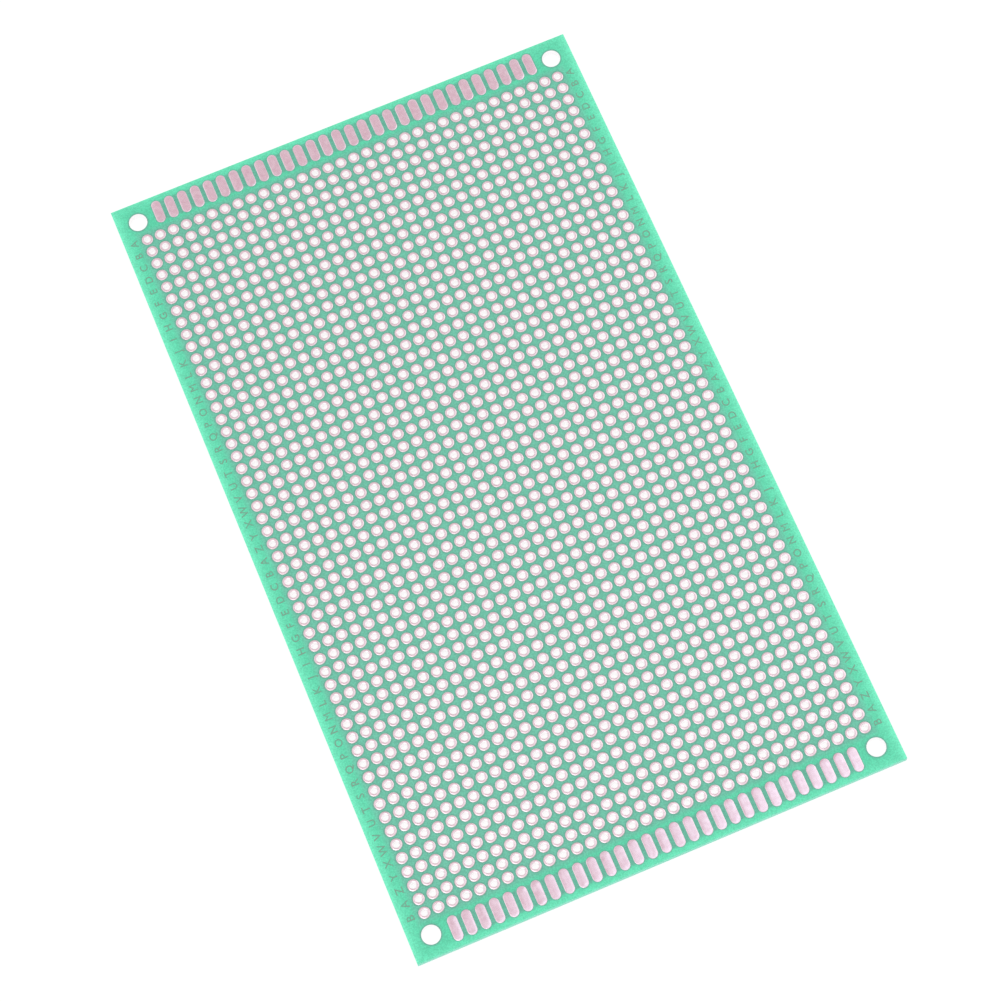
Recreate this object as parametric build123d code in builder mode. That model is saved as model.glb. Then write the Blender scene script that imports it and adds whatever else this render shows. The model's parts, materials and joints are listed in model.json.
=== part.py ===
# Double-sided prototype circuit board: a thin drilled laminate with a tenth-inch grid of lead holes,
# a screw hole in each corner, and a row of tinned contact lands along both short ends of both faces.
#
# Frame: X across the short side, Y along the long side, Z up. The origin is the middle of the
# underside, so the board lies on Z = 0.

import os

from build123d import *
from build123d.topology import SkipClean

# Board blank, a standard 9 by 15 cm size
board_width = 90.0
board_length = 150.0
board_thickness = 1.6

# Lead holes, as drilled: the plating, a thin coat, narrows each to about 1.1 mm.
# The margins are the least distance from a board edge to a hole's centre.
hole_pitch = 2.54
hole_diameter = 1.2
side_margin = 4.0
end_margin = 7.5

# Corner screw holes
screw_hole_diameter = 3.4
screw_side_inset = 4.0
screw_end_inset = 3.8

# Contact lands, flush in the windows that the solder mask leaves for them
land_length = 4.5
land_width = 1.75
land_thickness = 0.05
land_end_gap = 1.0
land_side_margin = 8.0

# What the sizes above work out to
column_count = int((board_width - 2 * side_margin) / hole_pitch) + 1
row_count = int((board_length - 2 * end_margin) / hole_pitch) + 1
land_count = int((board_width - 2 * land_side_margin) / hole_pitch) + 1
end_strip_length = (board_length - row_count * hole_pitch) / 2
end_strip_middle = (board_length - end_strip_length) / 2
screw_spacing_x = board_width - 2 * screw_side_inset
screw_spacing_y = board_length - 2 * screw_end_inset
land_row_middle = board_length / 2 - land_end_gap - land_length / 2
row_places = [(row - (row_count - 1) / 2) * hole_pitch for row in range(row_count)]

underside = Plane.XY
topside = Plane.XY.offset(board_thickness)


# Laminate: one drilled strip for each lettered row of holes, and a plain strip at each end.
# The strips become one solid whose faces stay split at the rows, so no face carries more than one row.
with BuildPart() as board, SkipClean():
    for row_place in row_places:
        with BuildSketch(underside):
            with Locations((0, row_place)):
                Rectangle(board_width, hole_pitch)
                with GridLocations(hole_pitch, 0, column_count, 1):
                    Circle(hole_diameter / 2, mode=Mode.SUBTRACT)
    with BuildSketch(underside):
        with Locations((0, end_strip_middle), (0, -end_strip_middle)):
            Rectangle(board_width, end_strip_length)
    extrude(amount=board_thickness, clean=False)

    with BuildSketch(underside):
        with GridLocations(screw_spacing_x, screw_spacing_y, 2, 2):
            Circle(screw_hole_diameter / 2)
    extrude(amount=board_thickness, mode=Mode.SUBTRACT, clean=False)

    with BuildSketch(underside):
        with Locations((0, land_row_middle), (0, -land_row_middle)):
            with GridLocations(hole_pitch, 0, land_count, 1):
                SlotOverall(land_length, land_width, rotation=90)
    extrude(amount=land_thickness, mode=Mode.SUBTRACT, clean=False)

    with BuildSketch(topside):
        with Locations((0, land_row_middle), (0, -land_row_middle)):
            with GridLocations(hole_pitch, 0, land_count, 1):
                SlotOverall(land_length, land_width, rotation=90)
    extrude(amount=-land_thickness, mode=Mode.SUBTRACT, clean=False)
board.part.label = "board"

# Contact lands: each row is a group of separate flat lands that fill their windows flush
with BuildPart() as far_lands_top:
    with BuildSketch(topside):
        with Locations((0, land_row_middle)):
            with GridLocations(hole_pitch, 0, land_count, 1):
                SlotOverall(land_length, land_width, rotation=90)
    extrude(amount=-land_thickness)
far_lands_top.part.label = "far_lands_top"

with BuildPart() as near_lands_top:
    with BuildSketch(topside):
        with Locations((0, -land_row_middle)):
            with GridLocations(hole_pitch, 0, land_count, 1):
                SlotOverall(land_length, land_width, rotation=90)
    extrude(amount=-land_thickness)
near_lands_top.part.label = "near_lands_top"

with BuildPart() as far_lands_bottom:
    with BuildSketch(underside):
        with Locations((0, land_row_middle)):
            with GridLocations(hole_pitch, 0, land_count, 1):
                SlotOverall(land_length, land_width, rotation=90)
    extrude(amount=land_thickness)
far_lands_bottom.part.label = "far_lands_bottom"

with BuildPart() as near_lands_bottom:
    with BuildSketch(underside):
        with Locations((0, -land_row_middle)):
            with GridLocations(hole_pitch, 0, land_count, 1):
                SlotOverall(land_length, land_width, rotation=90)
    extrude(amount=land_thickness)
near_lands_bottom.part.label = "near_lands_bottom"

os.makedirs("parts", exist_ok=True)
for piece in (board, far_lands_top, near_lands_top, far_lands_bottom, near_lands_bottom):
    export_step(piece.part, f"parts/{piece.part.label}.step")
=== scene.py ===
"""Prototype circuit board, dressed over its solids: a drilled board under solder mask, tinned pads and
hole plating, domed contact lands and row letters. Everything is in metres, in the part's own frame."""

import json
import math
import string

import bpy
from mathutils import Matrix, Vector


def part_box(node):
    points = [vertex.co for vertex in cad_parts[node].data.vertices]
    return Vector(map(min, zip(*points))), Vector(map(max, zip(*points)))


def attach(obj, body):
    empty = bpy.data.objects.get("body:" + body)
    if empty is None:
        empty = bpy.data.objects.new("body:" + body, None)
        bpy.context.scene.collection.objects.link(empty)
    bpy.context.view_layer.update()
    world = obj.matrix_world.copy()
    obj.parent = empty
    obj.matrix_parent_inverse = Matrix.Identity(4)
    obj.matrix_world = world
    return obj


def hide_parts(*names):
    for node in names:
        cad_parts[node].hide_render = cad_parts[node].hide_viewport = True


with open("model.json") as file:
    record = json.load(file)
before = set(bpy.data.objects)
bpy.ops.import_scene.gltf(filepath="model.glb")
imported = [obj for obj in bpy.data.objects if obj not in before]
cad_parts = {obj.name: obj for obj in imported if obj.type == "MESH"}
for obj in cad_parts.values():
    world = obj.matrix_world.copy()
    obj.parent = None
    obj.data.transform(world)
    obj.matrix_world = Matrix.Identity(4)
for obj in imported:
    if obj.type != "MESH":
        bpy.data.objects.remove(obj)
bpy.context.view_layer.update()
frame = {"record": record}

MM = 0.001
hole_pitch = 2.54 * MM

# Sizes that come from the frame
board_low, board_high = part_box("board")
half_width = board_high.x
half_length = board_high.y
top_face = board_high.z
underside = board_low.z
board_thickness = top_face - underside
mount_sizes = {mount["name"]: mount["dims"] for mount in frame["record"]["mounts"]}
lead_grid = mount_sizes["lead_grid"]
hole_radius = lead_grid["hole_r_mm"] * MM
column_count = round(lead_grid["spacing_x_mm"] * MM / hole_pitch) + 1
row_count = round(lead_grid["spacing_y_mm"] * MM / hole_pitch) + 1
first_column = -lead_grid["spacing_x_mm"] * MM / 2
first_row = -lead_grid["spacing_y_mm"] * MM / 2
corner_screws = mount_sizes["corner_screws"]
screw_radius = corner_screws["hole_r_mm"] * MM
screw_reach_x = corner_screws["spacing_x_mm"] * MM / 2
screw_reach_y = corner_screws["spacing_y_mm"] * MM / 2
land_low, land_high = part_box("far_lands_top")
land_count = int((land_high.x - land_low.x) / hole_pitch) + 1
land_width = (land_high.x - land_low.x) - (land_count - 1) * hole_pitch
land_length = land_high.y - land_low.y

# Points closer than this are one, and edges that turn less than this are shaded smooth
same_place = 1e-6
smooth_under = math.radians(60)

# Sides of the holes, and a turn of half a side that puts a corner of a lead hole on each diagonal
round_sides = 12
square_turn = math.pi / round_sides
screw_sides = 48

# Tinned ring pads: the radius and the height of each ring, from the foot over the crown into the hole
pad_sides = 14
pad_radius = 1.03 * MM
pad_crown = (0.86 * MM, 0.068 * MM)
pad_mouth = (0.65 * MM, 0.032 * MM)
pad_throat = (0.58 * MM, -0.002 * MM)
pad_swell_above = pad_crown[1] / 2

# Contact lands: how far in each step of the dome lies and how much of its height it makes
land_rise = 0.035 * MM
land_round_steps = 6
land_inset_shares = (0.08, 0.14, 0.22, 0.30)
land_rise_shares = (0.40, 0.30, 0.20, 0.10)
land_swell_above = land_rise / 3

# Uneven set of the solder, up and down from the middle of its range
swell_group = "crown"
solder_swell = 0.045 * MM
solder_swell_size = 1.1 * MM
swell_middle = 0.5

# Plating of the holes, whose ends stay under the lips of the pads
plating = 0.016 * MM
plating_gap = 0.004 * MM
plating_sunk = 0.004 * MM

# Row letters
letter_height = 1.35 * MM
letter_thickness = 0.012 * MM
letter_boldness = 0.02 * MM
never_bold = "M"
letter_middle = 43.1 * MM
letter_curve_steps = 3
letter_turn = math.radians(90)


# Shapes: the shared steps first

def deselect_all():
    bpy.ops.object.select_all(action="DESELECT")


def choose(pieces):
    """Selects these pieces only and makes the first one active."""
    deselect_all()
    for piece in pieces:
        piece.select_set(True)
    bpy.context.view_layer.objects.active = pieces[0]


def settle(piece, name, material):
    """Puts the piece's place into its mesh, names it and gives it its finish."""
    choose([piece])
    bpy.ops.object.transform_apply(location=True, rotation=True, scale=True)
    piece.name = name
    piece.data.name = name
    piece.data.materials.clear()
    piece.data.materials.append(material)
    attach(piece, "root")
    return piece


def settle_tin(piece, name, material):
    """Settles a piece of tinned copper, with its rounds smooth."""
    bpy.ops.object.shade_smooth_by_angle(angle=smooth_under)
    return settle(piece, name, material)


def repeat(piece, count, step, merge=False):
    """Copies the active piece in a row."""
    array = piece.modifiers.new("repeat", "ARRAY")
    array.count = count
    array.use_relative_offset = False
    array.use_constant_offset = True
    array.constant_offset_displace = step
    array.use_merge_vertices = merge
    array.merge_threshold = same_place
    bpy.ops.object.modifier_apply(modifier=array.name)


def fill_grid(piece, merge=False):
    """Copies the piece at the first lead hole to every hole of the grid."""
    repeat(piece, column_count, (hole_pitch, 0, 0), merge)
    repeat(piece, row_count, (0, hole_pitch, 0), merge)


def fill_corners(piece):
    """Copies the piece at the first screw hole to all four."""
    repeat(piece, 2, (2 * screw_reach_x, 0, 0))
    repeat(piece, 2, (0, 2 * screw_reach_y, 0))


def mark_crown(piece, up, above):
    """Groups the points that stand higher than this off the face. It comes before the piece is copied."""
    crown = piece.vertex_groups.new(name=swell_group)
    raised = [point.index for point in piece.data.vertices if up * point.co.z > above]
    crown.add(raised, 1.0, "REPLACE")


def swell(piece):
    """Makes the marked points of all copies uneven, as solder sets."""
    texture = bpy.data.textures.new("solder swell", "CLOUDS")
    texture.noise_scale = solder_swell_size
    uneven = piece.modifiers.new("swell", "DISPLACE")
    uneven.texture = texture
    uneven.texture_coords = "LOCAL"
    uneven.direction = "Z"
    uneven.vertex_group = swell_group
    uneven.strength = solder_swell
    uneven.mid_level = swell_middle
    bpy.ops.object.modifier_apply(modifier=uneven.name)


def new_round(sides, radius, centre, turn=0.0):
    """A flat ring of edges as large in area as the true round, left in edit mode with all of it
    selected."""
    step = 2 * math.pi / sides
    corner = radius * math.sqrt(step / math.sin(step))
    deselect_all()
    bpy.ops.mesh.primitive_circle_add(
        vertices=sides, radius=corner, location=centre, rotation=(0, 0, turn))
    bpy.ops.object.transform_apply(location=False, rotation=True, scale=False)
    bpy.ops.object.mode_set(mode="EDIT")
    bpy.ops.mesh.select_all(action="SELECT")
    return bpy.context.object


def extrude_ring(centre, scale, rise):
    """Carries the selected ring of edges on to its next size and height."""
    bpy.ops.mesh.extrude_edges_move(TRANSFORM_OT_translate={"value": (0, 0, rise)})
    bpy.ops.transform.resize(value=(scale, scale, 1), center_override=centre)


def face_outward():
    bpy.ops.mesh.select_all(action="SELECT")
    bpy.ops.mesh.normals_make_consistent(inside=False)


def close_ring():
    """Joins the first and the last ring of a turned section, and leaves edit mode."""
    bpy.ops.mesh.select_all(action="DESELECT")
    bpy.ops.mesh.select_non_manifold()
    bpy.ops.mesh.bridge_edge_loops()
    face_outward()
    bpy.ops.object.mode_set(mode="OBJECT")


# Shapes: the board

def grow_side(piece, axis, sign, reach):
    """Carries the outermost edges of a flat sheet on to the board's edge."""
    points = piece.data.vertices
    limit = max(sign * point.co[axis] for point in points)
    for part in (piece.data.polygons, piece.data.edges, points):
        for item in part:
            item.select = False
    for edge in piece.data.edges:
        if all(sign * points[end].co[axis] > limit - same_place for end in edge.vertices):
            edge.select = True
    move = [0, 0, 0]
    move[axis] = sign * (reach - limit)
    bpy.ops.object.mode_set(mode="EDIT")
    bpy.ops.mesh.select_mode(type="EDGE")
    bpy.ops.mesh.extrude_edges_move(TRANSFORM_OT_translate={"value": move})
    bpy.ops.mesh.select_mode(type="VERT")
    bpy.ops.object.mode_set(mode="OBJECT")


def screw_drill():
    """Four round bars, twice as long as the board is thick, that cut the screw holes."""
    deselect_all()
    bpy.ops.mesh.primitive_cylinder_add(
        vertices=screw_sides, radius=screw_radius, depth=2 * board_thickness,
        location=(-screw_reach_x, -screw_reach_y, underside + board_thickness / 2))
    drill = bpy.context.object
    fill_corners(drill)
    return drill


def drilled_board(name, material):
    """The laminate: a square round one hole, copied over the grid, then its margins, its thickness and
    the screw holes."""
    centre = (first_column, first_row, underside)
    board = new_round(round_sides, hole_radius, centre, square_turn)
    extrude_ring(centre, hole_pitch / hole_radius, 0)
    bpy.ops.object.mode_set(mode="OBJECT")
    bpy.ops.object.transform_apply(location=True, rotation=True, scale=True)

    # The outer round becomes a square, one pitch wide
    for point in board.data.vertices:
        across, along = point.co.x - first_column, point.co.y - first_row
        if math.hypot(across, along) > hole_pitch / 2:
            stretch = hole_pitch / 2 / max(abs(across), abs(along))
            point.co.x, point.co.y = first_column + across * stretch, first_row + along * stretch
    fill_grid(board, merge=True)
    for axis, reach in ((0, half_width), (1, half_length)):
        for sign in (-1, 1):
            grow_side(board, axis, sign, reach)
    bpy.ops.object.mode_set(mode="EDIT")
    bpy.ops.mesh.select_all(action="SELECT")
    bpy.ops.mesh.extrude_region_move(TRANSFORM_OT_translate={"value": (0, 0, board_thickness)})
    face_outward()
    bpy.ops.object.mode_set(mode="OBJECT")

    drill = screw_drill()
    cut = board.modifiers.new("screw holes", "BOOLEAN")
    cut.operation = "DIFFERENCE"
    cut.object = drill
    choose([board])
    bpy.ops.object.modifier_apply(modifier=cut.name)
    bpy.data.objects.remove(drill)
    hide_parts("board")
    return settle(board, name, material)


# Shapes: the tin and the letters; up is 1 on the top face and -1 on the underside

def ring_pads(name, face, up, material):
    """A tinned ring round every hole of one face."""
    centre = (first_column, first_row, face)
    pads = new_round(pad_sides, pad_radius, centre)
    at_radius, at_height = pad_radius, 0
    for radius, height in (pad_crown, pad_mouth, pad_throat):
        extrude_ring(centre, radius / at_radius, up * (height - at_height))
        at_radius, at_height = radius, height
    close_ring()
    mark_crown(pads, up, pad_swell_above)
    fill_grid(pads)
    swell(pads)
    return settle_tin(pads, name, material)


def plated_tube(sides, radius, centre, sunk=0.0, turn=0.0):
    """The tinned lining of one hole, whose ends are sunk that far below both faces."""
    outside = radius - plating_gap
    inside = radius - plating
    middle = (*centre, top_face - sunk)
    lining = new_round(sides, outside, middle, turn)
    extrude_ring(middle, inside / outside, 0)
    extrude_ring(middle, 1, 2 * sunk - board_thickness)
    extrude_ring(middle, outside / inside, 0)
    close_ring()
    return lining


def hole_plating(name, material):
    """The tinned lining of every lead hole."""
    first_hole = (first_column, first_row)
    lining = plated_tube(round_sides, hole_radius, first_hole, plating_sunk, square_turn)
    fill_grid(lining)
    return settle_tin(lining, name, material)


def screw_plating(name, material):
    """The tinned lining of the four screw holes."""
    lining = plated_tube(screw_sides, screw_radius, (-screw_reach_x, -screw_reach_y))
    fill_corners(lining)
    return settle_tin(lining, name, material)


def contact_lands(name, node, up, material):
    """One end's row of domed lands on one face, in the place of the flat lands of that node."""
    low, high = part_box(node)
    face = high.z if up > 0 else low.z
    centre = (low.x + land_width / 2, (low.y + high.y) / 2, face)
    deselect_all()
    bpy.ops.mesh.primitive_plane_add(size=1, location=centre)
    lands = bpy.context.object
    lands.scale = (land_width, land_length, 1)
    bpy.ops.object.transform_apply(location=False, rotation=False, scale=True)
    bpy.ops.object.mode_set(mode="EDIT")
    bpy.ops.mesh.select_all(action="SELECT")
    bpy.ops.mesh.bevel(affect="VERTICES", offset=land_width / 2, segments=land_round_steps)
    bpy.ops.mesh.select_all(action="SELECT")
    bpy.ops.mesh.remove_doubles(threshold=same_place)
    width, length = land_width, land_length
    for inset_share, rise_share in zip(land_inset_shares, land_rise_shares):
        inset = inset_share * land_width
        rise = up * rise_share * land_rise
        scale = ((width - inset) / width, (length - inset) / length, 1)
        bpy.ops.mesh.extrude_region_move(TRANSFORM_OT_translate={"value": (0, 0, rise)})
        bpy.ops.transform.resize(value=scale, center_override=centre)
        width, length = width - inset, length - inset
    face_outward()
    bpy.ops.object.mode_set(mode="OBJECT")
    mark_crown(lands, up, land_swell_above)
    repeat(lands, land_count, (hole_pitch, 0, 0))
    swell(lands)
    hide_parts(node)
    return settle_tin(lands, name, material)


def row_letters(name, middle, material):
    """One letter for each row of holes, from the far end down, read from the +X side. A letter whose
    outline would cross itself when widened stays as it is."""
    letters = []
    scale = None
    for row in range(row_count):
        deselect_all()
        place = (middle, -first_row - row * hole_pitch, top_face)
        bpy.ops.object.text_add(location=place, rotation=(0, 0, letter_turn))
        letter = bpy.context.object
        letter.data.body = string.ascii_uppercase[row % len(string.ascii_uppercase)]
        letter.data.align_x = "CENTER"
        letter.data.align_y = "CENTER"
        letter.data.resolution_u = letter_curve_steps
        if scale is None:
            bpy.context.view_layer.update()
            scale = letter_height / letter.dimensions.y
        letter.data.extrude = letter_thickness / scale
        if letter.data.body not in never_bold:
            letter.data.offset = letter_boldness / scale
        letter.scale = (scale, scale, scale)
        bpy.ops.object.convert(target="MESH")
        letters.append(bpy.context.object)
    choose(letters)
    bpy.ops.object.join()
    return settle(letters[0], name, material)


# Looks of the solder mask: colours, then the reach of each, then the cloth and the plies under it.
# A noise is given by its size, detail and roughness, and limits are the values a smooth step runs between.
mask_field_colour = (0.143, 0.548, 0.387)
mask_margin_colour = (0.092, 0.667, 0.400)
mask_edge_colour = (0.196, 0.960, 0.611)
mask_shade_colour = (0.127, 0.425, 0.318)
mask_wall_colour = (0.159, 0.838, 0.594)
mask_roughness = (0.30, 0.42)
margin_start = 0.8 * MM
margin_full = 2.4 * MM
edge_glow_depth = 1.2 * MM
end_glow_loss = 0.7 * MM
pad_shade_reach = 0.40 * MM
land_shade_reach = 0.25 * MM
between_lands_shade = 0.8
between_lands_fade = 0.6 * MM
screw_shade_reach = 0.45 * MM
yarn_width = 0.5 * MM
weave_bump = 0.12
weave_depth = 0.02 * MM
coarse_mottle = (1.6 * MM, 2.0, 0.5)
fine_mottle = (0.28 * MM, 2.0, 0.6)
coarse_mottle_share = 0.2
fine_mottle_share = 0.8
mottle_limits = (0.3, 0.7)
mottle_range = (0.86, 1.14)
ply_thickness = 0.2 * MM
ply_range = (0.88, 1.12)
flat_limits = (0.4, 0.6)

# Looks of the row letters
ink_colour = (0.20, 0.36, 0.265)
ink_worn_colour = (0.143, 0.465, 0.31)
ink_roughness = 0.5
ink_wear = (0.35 * MM, 3.0, 0.6)
ink_wear_limits = (0.35, 0.65)

# Looks of the tin
pad_colours = (0.84, 0.68, 0.74), (0.91, 0.77, 0.82)
plating_colours = (0.95, 0.92, 0.93), (0.98, 0.96, 0.965)
land_colours = (0.86, 0.67, 0.77), (0.93, 0.77, 0.86)
pad_roughness = 0.18
plating_roughness = 0.10
land_roughness = 0.17
tin_roughness_spread = 0.1
pad_grain = 0.25
plating_grain = 0.12
land_grain = 0.10
pad_rim_colour = (0.62, 0.41, 0.44)
pad_rim_start = 0.90 * MM
rim_patch_limits = (0.36, 0.60)
solder_swells = (0.9 * MM, 2.0, 0.5)
solder_grain = (0.16 * MM, 2.0, 0.6)
solder_grain_share = 0.25
solder_tone = (0.8 * MM, 3.0, 0.6)
solder_depth = 0.02 * MM
tone_limits = (0.3, 0.7)
gloss_limits = (0.4, 0.9)

# A Mix node has sockets for each kind of data; these are its share, its two colours and its result
mix_inputs = (0, 6, 7)
mix_result = 2


# Materials: the shared nodes first

def new_group(name, inputs, outputs):
    """An empty node group with named sockets."""
    group = bpy.data.node_groups.new(name, "ShaderNodeTree")
    for socket, kind, value in inputs:
        made = group.interface.new_socket(socket, in_out="INPUT", socket_type=kind)
        made.default_value = value
    for socket, kind in outputs:
        group.interface.new_socket(socket, in_out="OUTPUT", socket_type=kind)
    return group, group.nodes.new("NodeGroupInput"), group.nodes.new("NodeGroupOutput")


def math_node(tree, operation, first, second=None, third=None):
    """A Math node; each of its inputs is a socket or a number."""
    node = tree.nodes.new("ShaderNodeMath")
    node.operation = operation
    for socket, value in zip(node.inputs, (first, second, third)):
        if value is None:
            continue
        if isinstance(value, (int, float)):
            socket.default_value = value
        else:
            tree.links.new(value, socket)
    return node.outputs[0]


def product(tree, first, *others):
    """The values multiplied together."""
    for other in others:
        first = math_node(tree, "MULTIPLY", first, other)
    return first


def ramp_between(tree, value, low, high, to_low=0.0, to_high=1.0):
    """A smooth step of the value from low to high."""
    node = tree.nodes.new("ShaderNodeMapRange")
    node.interpolation_type = "SMOOTHSTEP"
    node.inputs["From Min"].default_value = low
    node.inputs["From Max"].default_value = high
    node.inputs["To Min"].default_value = to_low
    node.inputs["To Max"].default_value = to_high
    tree.links.new(value, node.inputs["Value"])
    return node.outputs["Result"]


def mix_colour(tree, share, first, second):
    """A colour mix; the share is a socket, and the colours are sockets or values."""
    node = tree.nodes.new("ShaderNodeMix")
    node.data_type = "RGBA"
    for index, value in zip(mix_inputs, (share, first, second)):
        if isinstance(value, tuple):
            node.inputs[index].default_value = (*value, 1.0)
        else:
            tree.links.new(value, node.inputs[index])
    return node.outputs[mix_result]


def object_place(tree):
    """The place on the surface, in the part's frame."""
    return tree.nodes.new("ShaderNodeTexCoord").outputs["Object"]


def parts_of(tree, vector):
    """The X, Y and Z of a vector."""
    node = tree.nodes.new("ShaderNodeSeparateXYZ")
    tree.links.new(vector, node.inputs[0])
    return node.outputs


def noise(tree, place, size, detail, roughness):
    """A soft noise with features of about the given size."""
    node = tree.nodes.new("ShaderNodeTexNoise")
    node.inputs["Scale"].default_value = 1.0 / size
    node.inputs["Detail"].default_value = detail
    node.inputs["Roughness"].default_value = roughness
    tree.links.new(place, node.inputs["Vector"])
    return node.outputs["Fac"]


def off_nearest(tree, value, first, count):
    """How far the value is from the nearest of a row of places, one pitch apart from the first."""
    from_first = math_node(tree, "SUBTRACT", value, first)
    nearest = math_node(tree, "ROUND", math_node(tree, "DIVIDE", from_first, hole_pitch))
    nearest = math_node(tree, "MAXIMUM", math_node(tree, "MINIMUM", nearest, count - 1), 0)
    return math_node(tree, "SUBTRACT", from_first, product(tree, nearest, hole_pitch))


def length_of(tree, across, along):
    squares = [product(tree, side, side) for side in (across, along)]
    return math_node(tree, "SQRT", math_node(tree, "ADD", *squares))


def to_hole_group():
    """How far a place is from the middle of the nearest lead hole."""
    group, given, result = new_group(
        "to_hole", [("Place", "NodeSocketVector", (0, 0, 0))], [("Distance", "NodeSocketFloat")])
    at = parts_of(group, given.outputs["Place"])
    across = off_nearest(group, at["X"], first_column, column_count)
    along = off_nearest(group, at["Y"], first_row, row_count)
    group.links.new(length_of(group, across, along), result.inputs["Distance"])
    return group


def glass_weave_group():
    """Plain-woven glass cloth: yarns over and under, along X and along Y."""
    group, given, result = new_group(
        "glass_weave",
        [("Place", "NodeSocketVector", (0, 0, 0)), ("Yarn", "NodeSocketFloat", yarn_width)],
        [("Height", "NodeSocketFloat"), ("Mottle", "NodeSocketFloat")],
    )
    place, yarn = given.outputs["Place"], given.outputs["Yarn"]
    at = parts_of(group, place)
    turns = [
        product(group, math_node(group, "DIVIDE", axis, yarn), math.pi) for axis in (at["X"], at["Y"])
    ]
    crossing = product(group, *[math_node(group, "SINE", turn) for turn in turns])

    # The crossing waves run from -1 to 1 and the height from 0 to 1
    height = math_node(group, "MULTIPLY_ADD", crossing, 0.5, 0.5)
    group.links.new(height, result.inputs["Height"])
    coarse = product(group, noise(group, place, *coarse_mottle), coarse_mottle_share)
    fine = noise(group, place, *fine_mottle)
    mottle = math_node(group, "MULTIPLY_ADD", fine, fine_mottle_share, coarse)
    group.links.new(mottle, result.inputs["Mottle"])
    return group


def solder_skin_group():
    """The surface of tin that has set from the melt: soft swells with a fine grain."""
    group, given, result = new_group(
        "solder_skin",
        [("Place", "NodeSocketVector", (0, 0, 0))],
        [("Height", "NodeSocketFloat"), ("Tone", "NodeSocketFloat")],
    )
    place = given.outputs["Place"]
    swells = noise(group, place, *solder_swells)
    grain = noise(group, place, *solder_grain)
    height = math_node(group, "MULTIPLY_ADD", grain, solder_grain_share, swells)
    group.links.new(height, result.inputs["Height"])
    group.links.new(noise(group, place, *solder_tone), result.inputs["Tone"])
    return group


to_hole = to_hole_group()
glass_weave = glass_weave_group()
solder_skin = solder_skin_group()


# Materials: the finishes

def new_material(name):
    material = bpy.data.materials.new(name)
    material.use_nodes = True
    return material, material.node_tree, material.node_tree.nodes["Principled BSDF"]


def use_group(tree, group, place):
    """The outputs of a shared effect at this place."""
    node = tree.nodes.new("ShaderNodeGroup")
    node.node_tree = group
    tree.links.new(place, node.inputs["Place"])
    return node.outputs


def bump(tree, surface, height, strength, distance):
    node = tree.nodes.new("ShaderNodeBump")
    node.inputs["Strength"].default_value = strength
    node.inputs["Distance"].default_value = distance
    tree.links.new(height, node.inputs["Height"])
    tree.links.new(node.outputs["Normal"], surface.inputs["Normal"])


def shade_near(tree, distance, start, reach):
    """A mask that is 1 up to the start and fades to 0 over the reach."""
    return ramp_between(tree, distance, start, start + reach, 1.0, 0.0)


def land_shade(tree, off_line, across, along):
    """Painted shade on the mask round the contact lands and between them."""
    half = land_length / 2
    off_middle = math_node(tree, "SUBTRACT", along, land_low.y + half)
    off_middle = math_node(tree, "ABSOLUTE", off_middle)
    off_end = math_node(tree, "SUBTRACT", off_middle, half - land_width / 2)
    to_land = length_of(tree, off_line, math_node(tree, "MAXIMUM", off_end, 0))
    by_land = shade_near(tree, to_land, land_width / 2, land_shade_reach)
    in_row = ramp_between(tree, across, land_high.x + land_shade_reach, land_high.x)
    between = ramp_between(tree, off_middle, half, half - between_lands_fade, 0.0, between_lands_shade)
    return math_node(tree, "MAXIMUM", by_land, product(tree, between, in_row))


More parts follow.
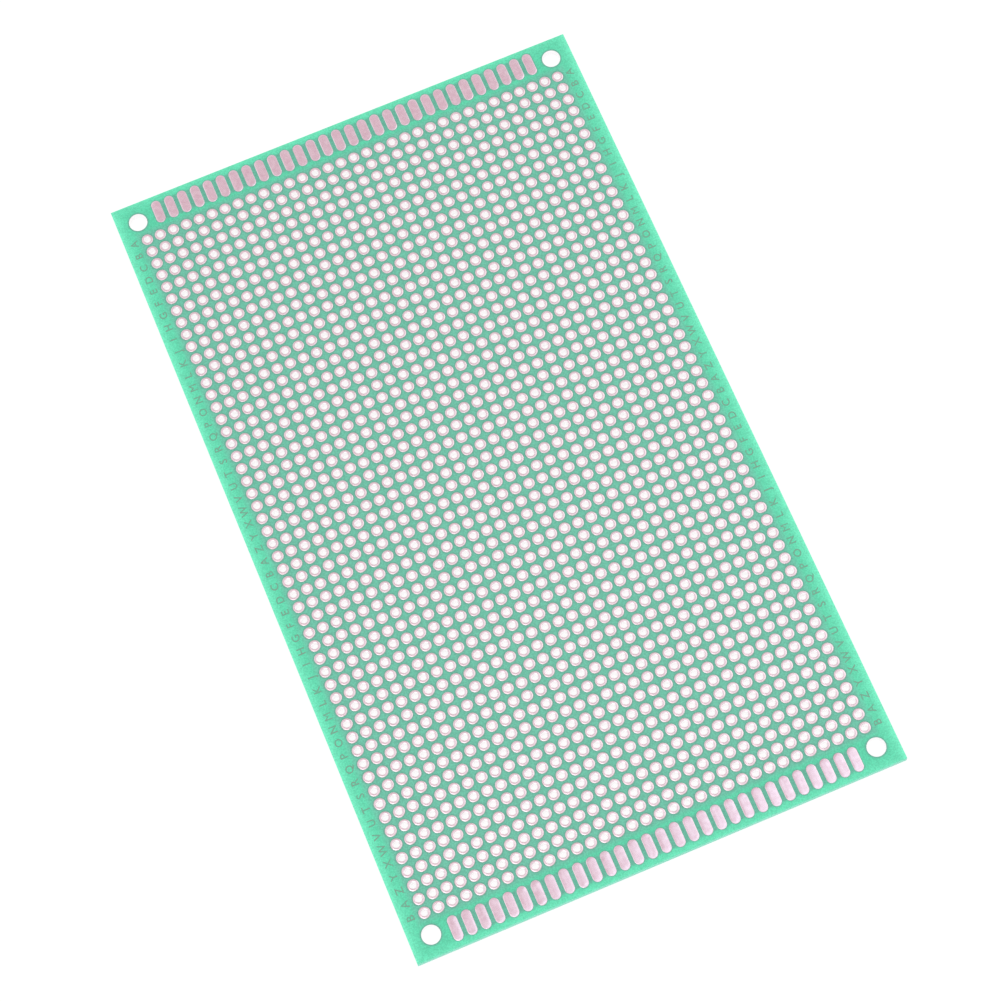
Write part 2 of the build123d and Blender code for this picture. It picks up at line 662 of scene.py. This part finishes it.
def solder_mask():
    """Green solder mask over woven glass, brighter where light comes in through the cut edges."""
    material, tree, surface = new_material("solder_mask")
    place = object_place(tree)
    at = parts_of(tree, place)
    across = math_node(tree, "ABSOLUTE", at["X"])
    along = math_node(tree, "ABSOLUTE", at["Y"])
    edge = math_node(
        tree, "MINIMUM",
        math_node(tree, "SUBTRACT", half_width, across),
        math_node(tree, "SUBTRACT", half_length + end_glow_loss, along),
    )
    past_field = math_node(
        tree, "MAXIMUM",
        math_node(tree, "SUBTRACT", across, -first_column),
        math_node(tree, "SUBTRACT", along, -first_row),
    )
    margin = ramp_between(tree, past_field, margin_start, margin_full)
    colour = mix_colour(tree, margin, mask_field_colour, mask_margin_colour)
    # Painted light, which makes the mask brighter towards the cut edges, less so at the ends
    glow = math_node(tree, "EXPONENT", math_node(tree, "DIVIDE", edge, -edge_glow_depth))
    colour = mix_colour(tree, glow, colour, mask_edge_colour)

    # Painted shade on the mask, darker close round each pad, contact land and screw hole
    to_middle = use_group(tree, to_hole, place)["Distance"]
    by_pad = shade_near(tree, to_middle, pad_radius, pad_shade_reach)
    off_line = off_nearest(tree, at["X"], land_low.x + land_width / 2, land_count)
    by_land = land_shade(tree, off_line, across, along)
    to_screw = length_of(
        tree,
        math_node(tree, "SUBTRACT", across, screw_reach_x),
        math_node(tree, "SUBTRACT", along, screw_reach_y),
    )
    by_screw = shade_near(tree, to_screw, screw_radius, screw_shade_reach)
    shade = math_node(tree, "MAXIMUM", math_node(tree, "MAXIMUM", by_pad, by_land), by_screw)
    colour = mix_colour(tree, shade, colour, mask_shade_colour)

    # The cut edges show the plies of the laminate, whose pattern is at its middle tone on both faces
    normal = parts_of(tree, tree.nodes.new("ShaderNodeNewGeometry").outputs["Normal"])
    flat = ramp_between(tree, math_node(tree, "ABSOLUTE", normal["Z"]), *flat_limits)
    colour = mix_colour(tree, flat, mask_wall_colour, colour)
    turns = math_node(tree, "DIVIDE", at["Z"], ply_thickness / (2 * math.pi))
    plies = ramp_between(tree, math_node(tree, "SINE", turns), -1.0, 1.0, *ply_range)

    weave = use_group(tree, glass_weave, place)
    mottle = ramp_between(tree, weave["Mottle"], *mottle_limits, *mottle_range)
    toned = tree.nodes.new("ShaderNodeVectorMath")
    toned.operation = "SCALE"
    tree.links.new(colour, toned.inputs[0])
    tree.links.new(product(tree, mottle, plies), toned.inputs["Scale"])
    tree.links.new(toned.outputs[0], surface.inputs["Base Color"])
    gloss = ramp_between(tree, weave["Mottle"], *mottle_limits, *mask_roughness)
    tree.links.new(gloss, surface.inputs["Roughness"])
    bump(tree, surface, weave["Height"], weave_bump, weave_depth)
    return material


def tin(name, colour, paler, roughness, grain, rim=None):
    """Bright tin plate with a faint warm cast, and on a pad, darker, redder patches towards its outer rim.
    """
    material, tree, surface = new_material(name)
    place = object_place(tree)
    skin = use_group(tree, solder_skin, place)
    mixed = mix_colour(tree, ramp_between(tree, skin["Tone"], *tone_limits), colour, paler)
    if rim:
        # Darker, redder patches towards the outer rim of a pad
        to_middle = use_group(tree, to_hole, place)["Distance"]
        out = ramp_between(tree, to_middle, pad_rim_start, pad_radius)
        rim_patches = ramp_between(tree, skin["Tone"], *rim_patch_limits)
        mixed = mix_colour(tree, product(tree, out, rim_patches), mixed, rim)
    tree.links.new(mixed, surface.inputs["Base Color"])
    surface.inputs["Metallic"].default_value = 1.0
    roughest = roughness + tin_roughness_spread
    gloss = ramp_between(tree, skin["Height"], *gloss_limits, roughness, roughest)
    tree.links.new(gloss, surface.inputs["Roughness"])
    bump(tree, surface, skin["Height"], grain, solder_depth)
    return material


def legend_ink():
    """Thin grey-brown legend ink, worn a little uneven."""
    material, tree, surface = new_material("legend_ink")
    worn = ramp_between(tree, noise(tree, object_place(tree), *ink_wear), *ink_wear_limits)
    mixed = mix_colour(tree, worn, ink_colour, ink_worn_colour)
    tree.links.new(mixed, surface.inputs["Base Color"])
    surface.inputs["Roughness"].default_value = ink_roughness
    return material


pad_tin = tin("pad_tin", *pad_colours, pad_roughness, pad_grain, pad_rim_colour)
plating_tin = tin("plating_tin", *plating_colours, plating_roughness, plating_grain)
land_tin = tin("land_tin", *land_colours, land_roughness, land_grain)
ink = legend_ink()

# The pieces
drilled_board("drilled_board", solder_mask())
ring_pads("pads_top", top_face, 1, pad_tin)
ring_pads("pads_bottom", underside, -1, pad_tin)
hole_plating("hole_plating", plating_tin)
screw_plating("screw_hole_plating", plating_tin)
for end in ("far", "near"):
    contact_lands(f"{end}_contacts_top", f"{end}_lands_top", 1, land_tin)
    contact_lands(f"{end}_contacts_bottom", f"{end}_lands_bottom", -1, land_tin)
row_letters("row_letters_left", -letter_middle, ink)
row_letters("row_letters_right", letter_middle, ink)


# Floor, which the lowest pads of the underside stand on
floor_size = 6.0
floor_height = underside - pad_crown[1] - swell_middle * solder_swell
floor_white = 0.93
floor_shadow = 0.12
floor_bounce = 0.8

# Room that the tin mirrors. The limits are in the X and Y of a direction that is 1 long, and those of
# the slant in its X less its Y.
room_front = (0.92, 0.87, 0.87)
room_above = (0.74, 0.61, 0.625)
room_behind = (0.90, 0.83, 0.83)
room_side = (0.82, 0.81, 0.81)
left_panel = (1.00, 0.97, 0.97)
soft_box = (1.20, 1.27, 1.32)
room_seen = (1.0, 1.0, 1.0)
above_limits = (-0.30, 0.0)
behind_limits = (0.45, 0.80)
side_limits = (0.10, 0.50)
panel_inner_limits = (-0.08, -0.24)
panel_outer_limits = (-0.60, -0.36)
box_front_limits = (-0.12, -0.02)
box_behind_limits = (0.34, 0.20)
box_slant_limits = (-0.22, 0.01)
box_right_limits = (0.42, 0.20)

# Lamps: place, size and power in watts
key_lamp = ((0.52, 0.10, 0.52), 0.60, 0.55)
fill_lamp = ((-0.27, -0.25, 0.62), 0.40, 0.45)

# Camera, fitted to the lead holes of the photograph: its turn is in degrees, its lens in millimetres
camera_place = (-43.65 * MM, -168.52 * MM, 497.58 * MM)
camera_turn = (18.6486, 2.6742, -22.5772)
camera_lens = 106.967
camera_sensor = 36.0
camera_clip = (0.01, 20.0)


def grey_diffuse(tree, tone):
    node = tree.nodes.new("ShaderNodeBsdfDiffuse")
    node.inputs["Color"].default_value = (tone, tone, tone, 1.0)
    return node.outputs[0]


def pale_floor():
    """A floor that the camera and the metal see as white, with a faint shadow. To other light it is
    only pale."""
    material = bpy.data.materials.new("pale_floor")
    material.use_nodes = True
    tree = material.node_tree
    tree.nodes.clear()
    out = tree.nodes.new("ShaderNodeOutputMaterial")
    path = tree.nodes.new("ShaderNodeLightPath").outputs
    seen = math_node(tree, "MAXIMUM", path["Is Camera Ray"], path["Is Glossy Ray"])
    seen = math_node(tree, "MAXIMUM", seen, path["Is Transmission Ray"])
    white = tree.nodes.new("ShaderNodeEmission")
    white.inputs["Strength"].default_value = floor_white
    both = tree.nodes.new("ShaderNodeAddShader")
    tree.links.new(white.outputs[0], both.inputs[0])
    tree.links.new(grey_diffuse(tree, floor_shadow), both.inputs[1])
    mixed = tree.nodes.new("ShaderNodeMixShader")
    tree.links.new(seen, mixed.inputs[0])
    tree.links.new(grey_diffuse(tree, floor_bounce), mixed.inputs[1])
    tree.links.new(both.outputs[0], mixed.inputs[2])
    tree.links.new(mixed.outputs[0], out.inputs["Surface"])
    return material


def studio_world():
    """A pale room, dimmer and warmer above the board, with a bright panel over the left and a soft box,
    cut on a slant, over the right. The camera sees it as white."""
    world = bpy.data.worlds.new("studio")
    bpy.context.scene.world = world
    world.use_nodes = True
    tree = world.node_tree
    direction = parts_of(tree, tree.nodes.new("ShaderNodeTexCoord").outputs["Generated"])
    across, along = direction["X"], direction["Y"]
    colour = mix_colour(tree, ramp_between(tree, along, *above_limits), room_front, room_above)
    colour = mix_colour(tree, ramp_between(tree, along, *behind_limits), colour, room_behind)
    sideways = ramp_between(tree, math_node(tree, "ABSOLUTE", across), *side_limits)
    colour = mix_colour(tree, sideways, colour, room_side)
    panel = product(
        tree,
        ramp_between(tree, across, *panel_inner_limits),
        ramp_between(tree, across, *panel_outer_limits),
    )
    colour = mix_colour(tree, panel, colour, left_panel)
    box = product(
        tree,
        ramp_between(tree, along, *box_front_limits),
        ramp_between(tree, along, *box_behind_limits),
        ramp_between(tree, math_node(tree, "SUBTRACT", across, along), *box_slant_limits),
        ramp_between(tree, across, *box_right_limits),
    )
    colour = mix_colour(tree, box, colour, soft_box)
    path = tree.nodes.new("ShaderNodeLightPath").outputs
    colour = mix_colour(tree, path["Is Camera Ray"], colour, room_seen)
    tree.links.new(colour, tree.nodes["Background"].inputs["Color"])


def soft_lamp(name, location, size, power):
    """A square lamp that faces the board."""
    deselect_all()
    bpy.ops.object.light_add(type="AREA", location=location)
    lamp = bpy.context.object
    lamp.name = name
    lamp.data.size = size
    lamp.data.energy = power
    lamp.rotation_euler = (-lamp.location).to_track_quat("-Z", "Y").to_euler()


deselect_all()
bpy.ops.mesh.primitive_plane_add(size=floor_size, location=(0, 0, floor_height))
floor = bpy.context.object
floor.name = "floor"
floor.data.materials.append(pale_floor())

studio_world()
soft_lamp("key_lamp", *key_lamp)
soft_lamp("fill_lamp", *fill_lamp)

deselect_all()
camera_rotation = [math.radians(turn) for turn in camera_turn]
bpy.ops.object.camera_add(location=camera_place, rotation=camera_rotation)
camera = bpy.context.object
camera.data.lens = camera_lens
camera.data.sensor_width = camera_sensor
camera.data.clip_start, camera.data.clip_end = camera_clip
bpy.context.scene.camera = camera
bpy.context.scene.view_settings.view_transform = "Standard"
